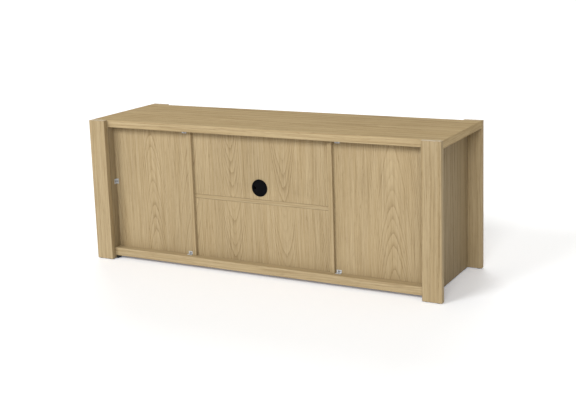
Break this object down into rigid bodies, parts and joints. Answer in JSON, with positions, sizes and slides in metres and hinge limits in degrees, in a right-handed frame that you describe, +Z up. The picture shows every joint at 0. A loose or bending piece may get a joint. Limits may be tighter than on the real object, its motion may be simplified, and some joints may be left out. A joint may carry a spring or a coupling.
{
  "type": "tv stand with doors",
  "caption": "Low oak media bench on flat posts, with a hinged door bay at each end, an open middle bay with a shelf and a capped cable outlet at the back.",
  "frame": {"origin": "centre of the footprint on the floor", "axes": "+Z up, the doors face -Y, +X to the right as seen by someone looking along +Y at the doors"},
  "size_m": [1.48, 0.455, 0.57],
  "materials": {
    "oak_post": "matt lacquer",
    "oak_long": "matt lacquer",
    "oak_board": "matt lacquer",
    "oak_back": "matt lacquer",
    "oak_door": "matt lacquer",
    "oak_shelf": "matt lacquer",
    "beech_dowel": "raw",
    "black_plastic": "satin",
    "outlet_plastic": "satin",
    "glide_plastic": "matt",
    "steel_screw": "zinc plated",
    "zinc_bracket": "zinc plated",
    "nickel_hinge": "nickel plated"
  },
  "bodies": {
    "carcass": {"post_back_left": "oak_post", "post_back_right": "oak_post", "post_front_left": "oak_post", "post_front_right": "oak_post", "top_panel": "oak_long", "bottom_panel": "oak_long", "side_left": "oak_board", "side_right": "oak_board", "divider_left": "oak_board", "divider_right": "oak_board", "middle_shelf": "oak_board", "back_left": "oak_back", "back_right": "oak_back", "back_middle_upper": "oak_back", "back_middle_lower": "oak_back", "shelf_left": "oak_shelf", "shelf_right": "oak_shelf", "shelf_pins": "steel_screw", "hinge_arms": "nickel_hinge", "hinge_plates": "nickel_hinge", "plate_screws": "steel_screw", "catches": "black_plastic", "back_brackets": "zinc_bracket", "bracket_screws": "steel_screw", "post_glides": "glide_plastic", "side_glides": "glide_plastic", "cable_collar": "outlet_plastic", "dowels": "beech_dowel"},
    "door_left": {"door_left": "oak_door", "knob_left": "black_plastic", "hinge_cups_left": "nickel_hinge", "hinge_pins_left": "nickel_hinge", "cup_screws_left": "steel_screw", "strikes_left": "nickel_hinge"},
    "door_right": {"door_right": "oak_door", "knob_right": "black_plastic", "hinge_cups_right": "nickel_hinge", "hinge_pins_right": "nickel_hinge", "cup_screws_right": "steel_screw", "strikes_right": "nickel_hinge"},
    "cable_cap": {"cable_cap": "outlet_plastic"}
  },
  "joints": [
    {"name": "door_left_hinge", "type": "hinge", "parent": "carcass", "child": "door_left", "pos_m": [-0.642, -0.193, 0.139], "axis": [0, 0, -1], "range_deg": [0, 95]},
    {"name": "door_right_hinge", "type": "hinge", "parent": "carcass", "child": "door_right", "pos_m": [0.642, -0.193, 0.139], "axis": [0, 0, 1], "range_deg": [0, 95]},
    {"name": "cable_cap_slide", "type": "slide", "parent": "carcass", "child": "cable_cap", "axis": [0, 1, 0], "range_m": [0, 0.03]}
  ]
}
